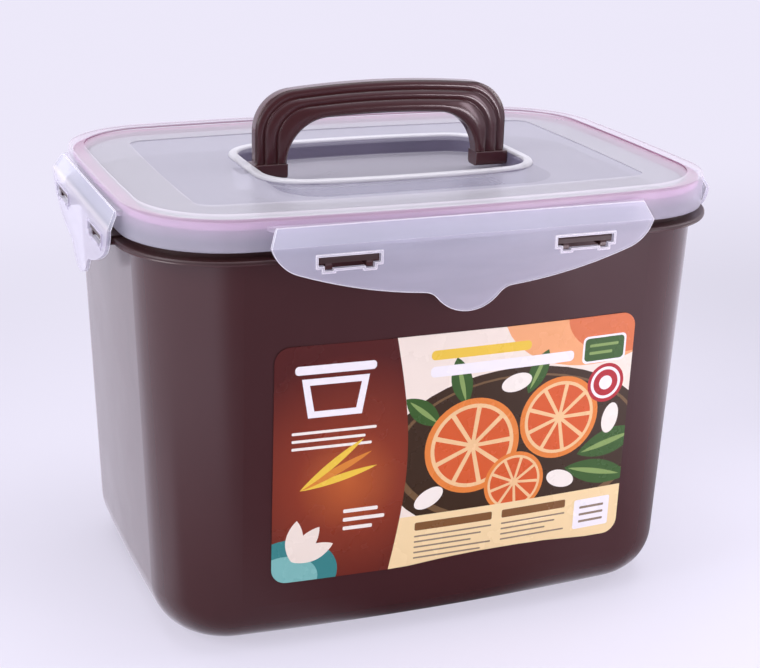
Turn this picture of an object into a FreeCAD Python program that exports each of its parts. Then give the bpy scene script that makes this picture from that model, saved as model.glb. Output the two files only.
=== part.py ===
# Airtight container: a tapered tub, a lid with a seal and a handle well, four
# locking flaps, a folding carry handle and a printed label on the front.
# Millimetres, Z up from the table, long side along X, front facing -Y.

import FreeCAD
import Part
import Sketcher
import math
import os

Vector = FreeCAD.Vector
Rotation = FreeCAD.Rotation

# Two places closer than this are the same place when faces and edges are picked
MATCH = 0.01

SIZES = {
    # Plan outline of the lid's edge: bowed sides and round corners
    "lid_half_length": 137.0,
    "lid_half_width": 99.4,
    "lid_corner": 45.6,
    "bow_long": 1224.0,
    "bow_short": 1664.0,
    # Tub wall, measured inwards from the lid's edge
    "tub_inset": 3.9,
    "tub_taper": 7.4,
    "tub_wall": 2.0,
    "tub_floor": 2.4,
    "base_radius": 24.0,
    "base_recess": 1.0,
    "base_ring": 5.0,
    # Flange and rim
    "flange_height": 182.6,
    "flange_thickness": 2.4,
    "flange_reach": 2.0,
    "flange_edge": 0.9,
    "rim_rise": 14.0,
    "rim_edge": 0.7,
    # Lid
    "skirt_gap": 3.1,
    "lid_depth": 14.3,
    "skirt_wall": 2.0,
    "plug_wall": 1.9,
    "lid_edge": 1.2,
    "rim_width": 7.3,
    "rim_step": 1.0,
    "band_width": 22.7,
    "band_fall": 0.8,
    "panel_step": 0.6,
    "panel_corner": 8.0,
    "panel_thickness": 1.6,
    # Seal
    "seal_height": 3.4,
    "seal_play": 0.3,
    "seal_edge": 0.6,
    # Handle well in the lid
    "well_depth": 9.3,
    "well_wall": 1.6,
    "well_floor": 1.8,
    "well_edge": 1.0,
    "lip_width": 4.4,
    "lip_rise": 1.9,
    "lip_edge": 1.5,
    "boss_length": 6.6,
    "boss_half_width": 6.0,
    # Hinge ledges of the lid and the flaps' plan places
    "ledge_reach": 0.8,
    "ledge_drop": 3.8,
    "ledge_thickness": 2.0,
    "ledge_over": 0.5,
    "ledge_slant": 4.0,
    "hinge_gap": 0.3,
    "flap_margin_long": 49.6,
    "flap_margin_short": 39.4,
    # Flaps, measured down and out from the hinge line
    "flap_web": 0.75,
    "flap_wall": 1.8,
    "flap_stand": 4.9,
    "flap_crease": 7.3,
    "flap_nick": 4.0,
    "flap_side_drop": 14.4,
    "flap_drop": 32.0,
    "flap_corner": 18.0,
    "tab_drop": 40.9,
    "tab_radius": 18.3,
    "tab_blend": 9.0,
    # Slots in the flaps, with two notches in the lower edge of each
    "slot_margin_long": 20.2,
    "slot_margin_short": 11.0,
    "slot_length": 27.0,
    "slot_top": 12.0,
    "slot_height": 3.9,
    "notch_margin": 2.6,
    "notch_width": 4.0,
    "notch_depth": 2.1,
    "bridge_depth": 1.2,
    "slot_frame": 0.9,
    "frame_rise": 0.5,
    # Locking lugs of the tub
    "lug_play": 0.9,
    "lug_height": 2.4,
    "lug_recess": 0.6,
    "lug_edge": 0.7,
    "nub_play": 0.6,
    "nub_lift": 0.8,
    # Folding handle, measured up from its pivot
    "pivot_drop": 3.3,
    "handle_reach": 38.6,
    "handle_half_span": 63.3,
    "handle_crown": 460.0,
    "foot_length": 16.0,
    "foot_half_depth": 5.0,
    "foot_below": 4.0,
    "foot_above": 2.8,
    "foot_round": 2.0,
    "leg_inset": 1.2,
    "outer_half_depth": 3.0,
    "outer_corner": 19.0,
    "middle_half_depth": 3.8,
    "middle_inset": 4.6,
    "middle_corner": 16.0,
    "inner_half_depth": 4.6,
    "inner_inset": 10.4,
    "inner_drop": 8.8,
    "inner_corner": 15.0,
    "grip_inset": 14.8,
    "grip_drop": 14.8,
    "grip_corner": 21.0,
    "grip_edge": 1.8,
    "foot_gap": 0.4,
    "fold_gap": 0.5,
    "pin_diameter": 4.0,
    "pin_length": 3.2,
    "pin_play": 0.08,
    "pin_end_gap": 0.5,
    # Label on the tub's front
    "label_centre": 4.6,
    "label_half_width": 85.5,
    "label_bottom": 33.5,
    "label_height": 111.0,
    "label_corner": 7.0,
    "label_film": 0.25,
    "label_bond": 0.15,
}


class Size:
    """A length as a number, with the sheet expression that drives it."""

    def __init__(self, text, value):
        self.text = text
        self.value = value

    def __add__(self, other):
        return Size(f"({self.text} + {as_size(other).text})", self.value + as_size(other).value)

    def __sub__(self, other):
        return Size(f"({self.text} - {as_size(other).text})", self.value - as_size(other).value)

    def __mul__(self, other):
        return Size(f"({self.text} * {as_size(other).text})", self.value * as_size(other).value)

    def __truediv__(self, other):
        return Size(f"({self.text} / {as_size(other).text})", self.value / as_size(other).value)

    def __neg__(self):
        return Size(f"(-1 * {self.text})", -self.value)


def as_size(number):
    return number if isinstance(number, Size) else Size(str(number), float(number))


class Sheet:
    """The driving dimensions, read as attributes that are Size objects."""

    def __init__(self, doc, sizes):
        table = doc.addObject("Spreadsheet::Sheet", "Sizes")
        for row, (alias, number) in enumerate(sizes.items(), start=1):
            table.set(f"A{row}", alias)
            table.set(f"B{row}", str(number))
            table.setAlias(f"B{row}", alias)
            setattr(self, alias, Size(f"Sizes.{alias}", number))
        doc.recompute()


doc = FreeCAD.newDocument("airtight_container")
size = Sheet(doc, SIZES)
ZERO = as_size(0)

# Heights and places that several sub-parts share
flange_top = size.flange_height + size.flange_thickness
rim_top = size.flange_height + size.rim_rise
skirt_bottom = flange_top + size.skirt_gap
lid_top = skirt_bottom + size.lid_depth
band_outer = lid_top - size.rim_step
band_inner = band_outer - size.band_fall
panel_top = band_inner - size.panel_step
panel_under = panel_top - size.panel_thickness
channel_top = rim_top + size.seal_height
channel_width = (size.tub_inset - size.skirt_wall) * 2 + size.tub_wall
lip_top = panel_top + size.lip_rise
well_base = lip_top - size.well_depth
pivot_height = lip_top - size.pivot_drop
hinge_height = lid_top - size.ledge_drop
hinge_reach = size.ledge_reach + size.hinge_gap / 2
lug_low = hinge_height - size.slot_top - size.slot_height + size.lug_play


def body(label, place=(ZERO, ZERO, ZERO), turn=0):
    """A part body with its own placement; turn is about Z in degrees."""
    part = doc.addObject("PartDesign::Body", label)
    part.Label = label
    base = Vector(*[axis.value for axis in place])
    part.Placement = FreeCAD.Placement(base, Rotation(Vector(0, 0, 1), turn))
    for axis, amount in zip("xyz", place):
        part.setExpression(f"Placement.Base.{axis}", amount.text)
    return part


def sketch(part, name, plane="XY_Plane", height=ZERO):
    """An empty sketch on one of the body's own origin planes, lifted by height."""
    flat = part.newObject("Sketcher::SketchObject", name)
    support = [feature for feature in part.Origin.OriginFeatures if feature.Role == plane][0]
    flat.AttachmentSupport = (support, "")
    flat.MapMode = "FlatFace"
    flat.AttachmentOffset = FreeCAD.Placement(Vector(0, 0, height.value), Rotation())
    flat.setExpression("AttachmentOffset.Base.z", height.text)
    return flat


def hold(flat, kind, *where, amount):
    """Adds a dimension to a sketch and binds it to the sheet."""
    index = flat.addConstraint(Sketcher.Constraint(kind, *where, amount.value))
    flat.setExpression(f"Constraints[{index}]", amount.text)


def relate(flat, kind, *where):
    """Adds a constraint that carries no dimension."""
    flat.addConstraint(Sketcher.Constraint(kind, *where))


def arc(centre, start, end):
    """Arc about centre, anticlockwise from start to end."""
    radius = (start - centre).Length
    first = math.atan2(start.y - centre.y, start.x - centre.x)
    last = math.atan2(end.y - centre.y, end.x - centre.x)
    if last <= first:
        last += 2 * math.pi
    return Part.ArcOfCircle(Part.Circle(centre, Vector(0, 0, 1), radius), first, last)


def circles_meet(centre_a, radius_a, centre_b, radius_b):
    """The two points where two circles cross."""
    gap = centre_b - centre_a
    along = (radius_a ** 2 - radius_b ** 2 + gap.Length ** 2) / (2 * gap.Length)
    aside = math.sqrt(radius_a ** 2 - along ** 2)
    axis = gap * (1 / gap.Length)
    foot = centre_a + axis * along
    side = Vector(-axis.y, axis.x, 0) * aside
    return foot + side, foot - side


def touch(centre, radius, other):
    """Where a circle about centre meets the ray from its centre through another point."""
    way = other - centre
    return centre + way * (radius / way.Length)


def bowed_outline(flat, half_x, half_y, corner, bow_x, bow_y):
    """Closed outline of four bowed sides joined by four round corners, all tangent."""
    rise_y = bow_x - half_y
    rise_x = bow_y - half_x
    front = Vector(0, rise_y.value, 0)
    right = Vector(-rise_x.value, 0, 0)
    meets = circles_meet(front, bow_x.value - corner.value, right, bow_y.value - corner.value)
    centre = [point for point in meets if point.x > 0 and point.y < 0][0]
    front_end = touch(front, bow_x.value, centre)
    right_end = touch(right, bow_y.value, centre)

    def mirrored(point, flip_x, flip_y):
        return Vector(point.x * flip_x, point.y * flip_y, 0)

    sides = [
        arc(front, mirrored(front_end, -1, 1), front_end),
        arc(centre, front_end, right_end),
        arc(right, right_end, mirrored(right_end, 1, -1)),
        arc(mirrored(centre, 1, -1), mirrored(right_end, 1, -1), mirrored(front_end, 1, -1)),
        arc(-front, mirrored(front_end, 1, -1), mirrored(front_end, -1, -1)),
        arc(mirrored(centre, -1, -1), mirrored(front_end, -1, -1), mirrored(right_end, -1, -1)),
        arc(-right, mirrored(right_end, -1, -1), mirrored(right_end, -1, 1)),
        arc(mirrored(centre, -1, 1), mirrored(right_end, -1, 1), mirrored(front_end, -1, 1)),
    ]
    ids = flat.addGeometry(sides, False)
    for index in range(8):
        relate(flat, "Tangent", ids[index], 2, ids[(index + 1) % 8], 1)
    for index in (0, 4):
        relate(flat, "PointOnObject", ids[index], 3, -2)
    for index in (2, 6):
        relate(flat, "PointOnObject", ids[index], 3, -1)
    relate(flat, "Equal", ids[0], ids[4])
    relate(flat, "Equal", ids[2], ids[6])
    for index in (3, 5, 7):
        relate(flat, "Equal", ids[1], ids[index])
    hold(flat, "Radius", ids[0], amount=bow_x)
    hold(flat, "Radius", ids[2], amount=bow_y)
    hold(flat, "Radius", ids[1], amount=corner)
    hold(flat, "DistanceY", -1, 1, ids[0], 3, amount=rise_y)
    hold(flat, "DistanceY", ids[4], 3, -1, 1, amount=rise_y)
    hold(flat, "DistanceX", ids[2], 3, -1, 1, amount=rise_x)
    hold(flat, "DistanceX", -1, 1, ids[6], 3, amount=rise_x)


def lid_outline(flat, inset):
    """The lid's edge, moved inwards by inset (outwards where negative)."""
    bowed_outline(flat, size.lid_half_length - inset, size.lid_half_width - inset,
                  size.lid_corner - inset, size.bow_long - inset, size.bow_short - inset)


def well_outline(flat, outset):
    """The handle well's mouth, which the folded handle fits with its gaps."""
    bowed_outline(flat, size.handle_half_span + size.foot_gap + outset,
                  size.handle_reach + size.fold_gap + outset,
                  size.outer_corner + outset,
                  size.handle_crown + outset,
                  size.bow_short + outset)


def polygon(flat, corners):
    """Closed loop of straight lines, each corner held by its two coordinates."""
    points = [Vector(along.value, up.value, 0) for along, up in corners]
    ends = points[1:] + points[:1]
    ids = flat.addGeometry([Part.LineSegment(a, b) for a, b in zip(points, ends)], False)
    for index, (along, up) in enumerate(corners):
        relate(flat, "Coincident", ids[index - 1], 2, ids[index], 1)
        hold(flat, "DistanceX", -1, 1, ids[index], 1, amount=along)
        hold(flat, "DistanceY", -1, 1, ids[index], 1, amount=up)


def rectangle(flat, left, right, low, high):
    polygon(flat, [(left, low), (right, low), (right, high), (left, high)])


def rounded_rectangle(flat, left, right, low, high, corner):
    """Upright rectangle with four equal round corners."""
    x0, x1, y0, y1, r = (amount.value for amount in (left, right, low, high, corner))
    centres = [
        Vector(x1 - r, y0 + r, 0),
        Vector(x1 - r, y1 - r, 0),
        Vector(x0 + r, y1 - r, 0),
        Vector(x0 + r, y0 + r, 0),
    ]
    ways = [Vector(0, -r, 0), Vector(r, 0, 0), Vector(0, r, 0), Vector(-r, 0, 0)]
    shapes = []
    for index, centre in enumerate(centres):
        start = centre + ways[index]
        end = centre + ways[(index + 1) % 4]
        after = centres[(index + 1) % 4] + ways[(index + 1) % 4]
        shapes += [arc(centre, start, end), Part.LineSegment(end, after)]
    ids = flat.addGeometry(shapes, False)
    for index in range(8):
        relate(flat, "Tangent", ids[index], 2, ids[(index + 1) % 8], 1)
    for index in (1, 5):
        relate(flat, "Vertical", ids[index])
    for index in (3, 7):
        relate(flat, "Horizontal", ids[index])
    for index in (2, 4, 6):
        relate(flat, "Equal", ids[0], ids[index])
    hold(flat, "Radius", ids[0], amount=corner)
    hold(flat, "DistanceX", -1, 1, ids[1], 1, amount=right)
    hold(flat, "DistanceX", -1, 1, ids[5], 1, amount=left)
    hold(flat, "DistanceY", -1, 1, ids[3], 1, amount=high)
    hold(flat, "DistanceY", -1, 1, ids[7], 1, amount=low)


def pad(part, name, flat, length, both_ways=False, against=False):
    """Adds material along the sketch's normal, or both ways, or against it."""
    feature = part.newObject("PartDesign::Pad", name)
    feature.Profile = flat
    feature.Length = length.value
    feature.setExpression("Length", length.text)
    feature.Midplane = both_ways
    feature.Reversed = against
    doc.recompute()
    return feature


def pocket(part, name, flat, length=None, both_ways=False, along=False):
    """Cuts against the sketch's normal, or both ways, or along it; right through without a length."""
    before = part.Shape.Volume
    feature = part.newObject("PartDesign::Pocket", name)
    feature.Profile = flat
    if length is None:
        feature.Type = "ThroughAll"
    else:
        feature.Length = length.value
        feature.setExpression("Length", length.text)
    feature.Midplane = both_ways
    feature.Reversed = along
    doc.recompute()
    if part.Shape.Volume >= before:
        raise ValueError(f"{part.Label}: {name} removed nothing")
    return feature


def loft(part, name, sections, cut=False):
    """Straight-sided loft through sketches, added or cut."""
    kind = "PartDesign::SubtractiveLoft" if cut else "PartDesign::AdditiveLoft"
    feature = part.newObject(kind, name)
    feature.Profile = sections[0]
    feature.Sections = sections[1:]
    feature.Ruled = True
    doc.recompute()
    return feature


def soften(part, name, chosen, radius, kind="Fillet"):
    """Rounds or chamfers the edges for which chosen(edge box, edge) is true."""
    base = part.Tip
    names = [f"Edge{number}" for number, edge in enumerate(base.Shape.Edges, start=1)
             if chosen(edge.BoundBox, edge)]
    feature = part.newObject(f"PartDesign::{kind}", name)
    feature.Base = (base, names)
    amount = "Radius" if kind == "Fillet" else "Size"
    setattr(feature, amount, radius.value)
    feature.setExpression(amount, radius.text)
    doc.recompute()
    return feature


def lean(part, name, low, high, taper, inside):
    """Drafts the upright faces from low to high, narrower downwards, about the flat face at high."""
    base = part.Tip
    upright = []
    for number, face in enumerate(base.Shape.Faces, start=1):
        box = face.BoundBox
        if near(box.ZMin, low.value) and near(box.ZMax, high.value):
            upright.append(f"Face{number}")
        elif near(box.ZMin, high.value) and near(box.ZMax, high.value):
            neutral = f"Face{number}"
    feature = part.newObject("PartDesign::Draft", name)
    feature.Base = (base, upright)
    feature.NeutralPlane = (base, [neutral])
    feature.Reversed = not inside
    slope = taper / rim_top
    feature.Angle = math.degrees(math.atan(slope.value))
    feature.setExpression("Angle", f"atan({slope.text})")
    doc.recompute()
    return feature


def near(value, target):
    return abs(value - target) < MATCH


def flat_at(box, height):
    """True for an edge that lies flat at a height."""
    return near(box.ZMin, height.value) and near(box.ZMax, height.value)


def wall_edges(part, low, high):
    """Edges round the upright faces that run from one height to another."""
    faces = [face for face in part.Tip.Shape.Faces
             if near(face.BoundBox.ZMin, low.value) and near(face.BoundBox.ZMax, high.value)]
    return [edge for face in faces for edge in face.Edges]


def tub_offset(height):
    """How far the tub's outside stands inside the lid's edge at a height."""
    return size.tub_inset + size.tub_taper * (as_size(1) - height / rim_top)


def flap_plan():
    """The four flaps: label, half length, slot margin, hinge distance and turn about Z."""
    long_half = size.lid_half_length - size.flap_margin_long
    short_half = size.lid_half_width - size.flap_margin_short
    front = size.lid_half_width + hinge_reach
    side = size.lid_half_length + hinge_reach
    return [
        ("front_flap", long_half, size.slot_margin_long, (ZERO, -front, hinge_height), 0),
        ("right_flap", short_half, size.slot_margin_short, (side, ZERO, hinge_height), 90),
        ("back_flap", long_half, size.slot_margin_long, (ZERO, front, hinge_height), 180),
        ("left_flap", short_half, size.slot_margin_short, (-side, ZERO, hinge_height), 270),
    ]


def turned(along, out, turn):
    """Plan position of a point given along and out from the front side, turned about Z."""
    return {0: (along, -out), 90: (out, along), 180: (-along, out), 270: (-out, -along)}[turn]


def turned_rectangle(flat, start, end, inside, outside, turn):
    corners = [(start, inside), (start, outside), (end, outside), (end, inside)]
    polygon(flat, [turned(along, out, turn) for along, out in corners])


def build_tub():
    tub = body("tub")
    outside = sketch(tub, "tub_plan")
    lid_outline(outside, size.tub_inset)
    pad(tub, "tub_block", outside, rim_top)
    inside = sketch(tub, "cavity_plan", height=rim_top)
    lid_outline(inside, size.tub_inset + size.tub_wall)
    pocket(tub, "cavity", inside, rim_top - size.tub_floor)
    lean(tub, "cavity_draft", size.tub_floor, rim_top, size.tub_taper, True)
    lean(tub, "tub_draft", ZERO, rim_top, size.tub_taper, False)
    soften(tub, "base_round", lambda box, edge: flat_at(box, ZERO), size.base_radius)
    soften(tub, "floor_round", lambda box, edge: flat_at(box, size.tub_floor), size.base_radius - size.tub_wall)
    flange = sketch(tub, "flange_plan", height=size.flange_height)
    lid_outline(flange, -size.flange_reach)
    lid_outline(flange, size.tub_inset + size.tub_wall / 2)
    pad(tub, "flange", flange, size.flange_thickness)
    outer = wall_edges(tub, size.flange_height, flange_top)

    def flange_edges(box, edge):
        level = flat_at(box, size.flange_height) or flat_at(box, flange_top)
        return level and any(edge.isSame(other) for other in outer)

    soften(tub, "flange_round", flange_edges, size.flange_edge)
    add_lugs(tub)
    soften(tub, "rim_edges", lambda box, edge: flat_at(box, rim_top), size.rim_edge, "Chamfer")
    recess = sketch(tub, "recess_plan")
    lid_outline(recess, size.tub_inset + size.tub_taper + size.base_radius + size.base_ring)
    pocket(tub, "base_recess", recess, size.base_recess, along=True)
    return tub


def add_lugs(tub):
    """Bars on the flange that stand in the flaps' slots, with nubs in the slots' notches."""
    nub_low = lug_low - size.lug_play - size.notch_depth + size.nub_lift
    bars = sketch(tub, "lug_plan", height=lug_low)
    nubs = sketch(tub, "nub_plan", height=nub_low)
    for label, half, margin, place, turn in flap_plan():
        edge_out = size.lid_half_width if turn in (0, 180) else size.lid_half_length
        tip = edge_out + hinge_reach + size.flap_stand - size.lug_recess
        root = edge_out - size.tub_inset - size.tub_wall / 2
        outer = half - margin
        inner = outer - size.slot_length
        notch = size.notch_margin + size.nub_play
        nub = size.notch_width - size.nub_play * 2
        for side in (1, -1):
            ends = (inner + size.lug_play, outer - size.lug_play)
            starts = (outer - notch - nub, inner + notch)
            turned_rectangle(bars, ends[0] * side, ends[1] * side, root, tip, turn)
            for start in starts:
                turned_rectangle(nubs, start * side, (start + nub) * side, root, tip, turn)
    pad(tub, "lugs", bars, size.lug_height)
    pad(tub, "nubs", nubs, lug_low - nub_low)
    tip_long = (size.lid_half_width + hinge_reach + size.flap_stand - size.lug_recess).value
    tip_short = (size.lid_half_length + hinge_reach + size.flap_stand - size.lug_recess).value

    def tip_edges(box, edge):
        level = flat_at(box, lug_low + size.lug_height)
        at_front = near(box.YMin, box.YMax) and near(abs(box.YMin), tip_long)
        at_side = near(box.XMin, box.XMax) and near(abs(box.XMin), tip_short)
        return level and (at_front or at_side)

    soften(tub, "lug_round", tip_edges, size.lug_edge)


def build_lid():
    lid = body("lid")
    edge_plan = sketch(lid, "edge_plan", height=skirt_bottom)
    lid_outline(edge_plan, ZERO)
    pad(lid, "blank", edge_plan, size.lid_depth)
    soften(lid, "edge_round", lambda box, edge: flat_at(box, lid_top), size.lid_edge)
    add_ledges(lid)
    add_panel(lid)
    add_channel(lid)
    add_well(lid)
    return lid


def add_ledges(lid):
    """Straight ledges along the four sides that carry the flaps' hinge lines."""
    ledges = sketch(lid, "ledge_plan", height=hinge_height - size.ledge_thickness)
    for label, half, margin, place, turn in flap_plan():
        edge_out = size.lid_half_width if turn in (0, 180) else size.lid_half_length
        end = half - size.flap_nick + size.ledge_over
        root = edge_out - size.rim_width
        tip = edge_out + size.ledge_reach
        corners = [(-end - size.ledge_slant, root), (-end, tip), (end, tip), (end + size.ledge_slant, root)]
        polygon(ledges, [turned(along, out, turn) for along, out in corners])
    pad(lid, "ledges", ledges, size.ledge_thickness)


def add_panel(lid):
    """The rim's inner step, the sloping band inside it and the sunk middle panel."""
    step = sketch(lid, "rim_inner", height=lid_top)
    lid_outline(step, size.rim_width)
    pocket(lid, "rim_step", step, size.rim_step)

    def panel_outline(flat):
        inset = size.rim_width + size.band_width
        bowed_outline(flat, size.lid_half_length - inset, size.lid_half_width - inset,
                      size.panel_corner, size.bow_long - inset, size.bow_short - inset)

    high = sketch(lid, "band_high", height=band_outer)
    lid_outline(high, size.rim_width)
    low = sketch(lid, "band_low", height=band_inner)
    panel_outline(low)
    loft(lid, "band", [high, low], cut=True)
    sunk = sketch(lid, "panel_plan", height=band_inner)
    panel_outline(sunk)
    pocket(lid, "panel", sunk, size.panel_step)


def add_channel(lid):
    """Hollows the lid from below, leaving the skirt and the plug wall round the seal's channel."""
    plug_inset = size.skirt_wall + channel_width + size.plug_wall
    under = sketch(lid, "under_plan", height=skirt_bottom)
    lid_outline(under, plug_inset)
    pocket(lid, "underside", under, panel_under - skirt_bottom, along=True)
    ring = sketch(lid, "channel_plan", height=skirt_bottom)
    lid_outline(ring, size.skirt_wall)
    lid_outline(ring, size.skirt_wall + channel_width)
    pocket(lid, "channel", ring, channel_top - skirt_bottom, along=True)


def add_well(lid):
    """The handle's well with its raised lip, pivot bosses and pin holes."""
    under = well_base - size.well_floor
    shell = sketch(lid, "well_shell_plan", height=under)
    well_outline(shell, size.well_wall)
    pad(lid, "well_shell", shell, panel_top - under)
    wall_x = size.handle_half_span + size.foot_gap
    bosses = sketch(lid, "boss_plan", height=under)
    for side in (1, -1):
        turned_rectangle(bosses, -size.boss_half_width, size.boss_half_width,
                         (wall_x - size.well_edge) * side, (wall_x + size.boss_length) * side, 90)
    pad(lid, "bosses", bosses, panel_top - under)
    lip = sketch(lid, "lip_plan", height=panel_top)
    well_outline(lip, size.lip_width)
    pad(lid, "lip", lip, size.lip_rise)
    soften(lid, "lip_round", lambda box, edge: flat_at(box, lip_top), size.lip_edge)
    mouth = sketch(lid, "well_plan", height=lip_top)
    well_outline(mouth, ZERO)
    pocket(lid, "well", mouth, size.well_depth)
    soften(lid, "well_floor_round", lambda box, edge: flat_at(box, well_base), size.well_edge)
    soften(lid, "well_mouth_round", lambda box, edge: flat_at(box, lip_top) and
           max(abs(box.XMin), abs(box.XMax)) < wall_x.value + size.well_edge.value and
           max(abs(box.YMin), abs(box.YMax)) < (size.handle_reach + size.fold_gap + size.well_edge).value,
           size.well_edge)
    bores = sketch(lid, "bore_plan", plane="YZ_Plane")
    circle = bores.addGeometry(Part.Circle(Vector(0, pivot_height.value, 0), Vector(0, 0, 1), 1), False)
    relate(bores, "PointOnObject", circle, 3, -2)
    hold(bores, "DistanceY", -1, 1, circle, 3, amount=pivot_height)
    hold(bores, "Diameter", circle, amount=size.pin_diameter + size.pin_play * 2)
    reach = size.handle_half_span + size.pin_length + size.pin_end_gap
    pocket(lid, "pin_bores", bores, reach * 2, both_ways=True)


def build_seal():
    seal = body("seal")
    ring = sketch(seal, "ring_plan", height=rim_top)
    lid_outline(ring, size.skirt_wall + size.seal_play)
    lid_outline(ring, size.skirt_wall + channel_width - size.seal_play)
    pad(seal, "ring", ring, size.seal_height)
    soften(seal, "ring_edges", lambda box, edge: flat_at(box, rim_top), size.seal_edge, "Chamfer")
    return seal


def flap_outline(flat, half):
    """The flap seen square on: straight top and sides, a swept lower edge and a pull tab."""
    rise = size.flap_drop - size.flap_side_drop
    sweep = (half * half + rise * rise) / (rise * 2)
    sweep_high = sweep - size.flap_drop
    tab_high = size.tab_radius - size.tab_drop
    sweep_centre = Vector(0, sweep_high.value, 0)
    tab_centre = Vector(0, tab_high.value, 0)
    corner_x = half.value - size.flap_corner.value
    fall = math.sqrt((sweep.value - size.flap_corner.value) ** 2 - corner_x ** 2)
    corner_centre = Vector(corner_x, sweep_high.value - fall, 0)
    blends = circles_meet(sweep_centre, sweep.value + size.tab_blend.value,
                          tab_centre, size.tab_radius.value + size.tab_blend.value)
    blend_centre = [point for point in blends if point.x > 0][0]
    tab_end = touch(tab_centre, size.tab_radius.value, blend_centre)
    sweep_start = touch(sweep_centre, sweep.value, blend_centre)
    sweep_end = touch(sweep_centre, sweep.value, corner_centre)
    crease_rise = size.flap_crease.value + corner_centre.y
    side_out = math.sqrt(size.flap_corner.value ** 2 - crease_rise ** 2)
    side_low = Vector(corner_x + side_out, -size.flap_crease.value, 0)
    side_high = Vector((half - size.flap_nick).value, 0, 0)

    def left(point):
        return Vector(-point.x, point.y, 0)

    ids = flat.addGeometry([
        arc(tab_centre, left(tab_end), tab_end),
        arc(blend_centre, sweep_start, tab_end),
        arc(sweep_centre, sweep_start, sweep_end),
        arc(corner_centre, sweep_end, side_low),
        Part.LineSegment(side_low, side_high),
        Part.LineSegment(side_high, left(side_high)),
        Part.LineSegment(left(side_high), left(side_low)),
        arc(left(corner_centre), left(side_low), left(sweep_end)),
        arc(sweep_centre, left(sweep_end), left(sweep_start)),
        arc(left(blend_centre), left(tab_end), left(sweep_start)),
    ], False)
    tab, blend, sweep_arc, corner, side, top, side_l, corner_l, sweep_l, blend_l = ids
    for first, first_end, second, second_end in (
            (tab, 2, blend, 2), (blend, 1, sweep_arc, 1), (sweep_arc, 2, corner, 1),
            (corner_l, 2, sweep_l, 1), (sweep_l, 2, blend_l, 2), (blend_l, 1, tab, 1)):
        relate(flat, "Tangent", first, first_end, second, second_end)
    for first, first_end, second, second_end in (
            (corner, 2, side, 1), (side, 2, top, 1), (top, 2, side_l, 1), (side_l, 2, corner_l, 1)):
        relate(flat, "Coincident", first, first_end, second, second_end)
    relate(flat, "Equal", blend, blend_l)
    relate(flat, "Equal", corner, corner_l)
    relate(flat, "PointOnObject", tab, 3, -2)
    hold(flat, "Radius", tab, amount=size.tab_radius)
    hold(flat, "Radius", blend, amount=size.tab_blend)
    hold(flat, "Radius", corner, amount=size.flap_corner)
    hold(flat, "DistanceY", -1, 1, tab, 3, amount=tab_high)
    for swept in (sweep_arc, sweep_l):
        relate(flat, "PointOnObject", swept, 3, -2)
        hold(flat, "Radius", swept, amount=sweep)
        hold(flat, "DistanceY", -1, 1, swept, 3, amount=sweep_high)
    for corner_arc, order in ((corner, 1), (corner_l, -1)):
        ends = [(-1, 1), (corner_arc, 3)][::order]
        hold(flat, "DistanceX", *ends[0], *ends[1], amount=half - size.flap_corner)
    hold(flat, "DistanceY", side, 1, -1, 1, amount=size.flap_crease)
    hold(flat, "DistanceY", side_l, 2, -1, 1, amount=size.flap_crease)
    hold(flat, "DistanceX", -1, 1, side, 2, amount=half - size.flap_nick)
    hold(flat, "DistanceX", side_l, 1, -1, 1, amount=half - size.flap_nick)
    relate(flat, "PointOnObject", side, 2, -1)
    relate(flat, "PointOnObject", side_l, 1, -1)


def slot_corners(start, side, rim):
    """Corners of one slot from its inner end outwards, with its two notches, grown by a rim."""
    top = rim - size.slot_top
    low = -size.slot_top - size.slot_height - rim
    notch_low = low - size.notch_depth
    bridge_low = low - size.bridge_depth
    end = start + size.slot_length
    near_in = start + size.notch_margin - rim
    near_out = near_in + size.notch_width + rim * 2
    far_out = end - size.notch_margin + rim
    far_in = far_out - size.notch_width - rim * 2
    start = start - rim
    end = end + rim
    corners = [
        (start, top), (start, low), (near_in, low), (near_in, notch_low),
        (near_out, notch_low), (near_out, bridge_low), (far_in, bridge_low), (far_in, notch_low),
        (far_out, notch_low), (far_out, low), (end, low), (end, top),
    ]
    return [(along * side, up) for along, up in corners]


def build_flap(label, half, margin, place, turn):
    """One flap in its own frame: origin on the hinge line, outwards along -Y."""
    flap = body(label, place, turn)
    section = sketch(flap, f"{label}_section", plane="YZ_Plane")
    gap = size.hinge_gap / 2
    face = size.flap_stand
    back = face - size.flap_wall
    low = -size.tab_drop
    polygon(section, [
        (-gap, ZERO), (-gap, -size.ledge_thickness), (-back, -size.flap_crease), (-back, low),
        (-face, low), (-face, -size.flap_crease), (-gap - size.flap_web, ZERO),
    ])
    pad(flap, f"{label}_strip", section, half * 2, both_ways=True)
    frame = sketch(flap, f"{label}_frames", plane="XZ_Plane", height=face)
    start = half - margin - size.slot_length
    for side in (1, -1):
        polygon(frame, slot_corners(start, side, size.slot_frame))
    pad(flap, f"{label}_rims", frame, size.frame_rise)
    trim = sketch(flap, f"{label}_outline", plane="XZ_Plane")
    around = half + size.flap_corner
    rectangle(trim, -around, around, -size.tab_drop - size.flap_corner, size.flap_corner)
    flap_outline(trim, half)
    pocket(flap, f"{label}_trim", trim, both_ways=True)
    slots = sketch(flap, f"{label}_slots", plane="XZ_Plane")
    for side in (1, -1):
        polygon(slots, slot_corners(start, side, ZERO))
    pocket(flap, f"{label}_cut", slots, both_ways=True)
    return flap


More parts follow.
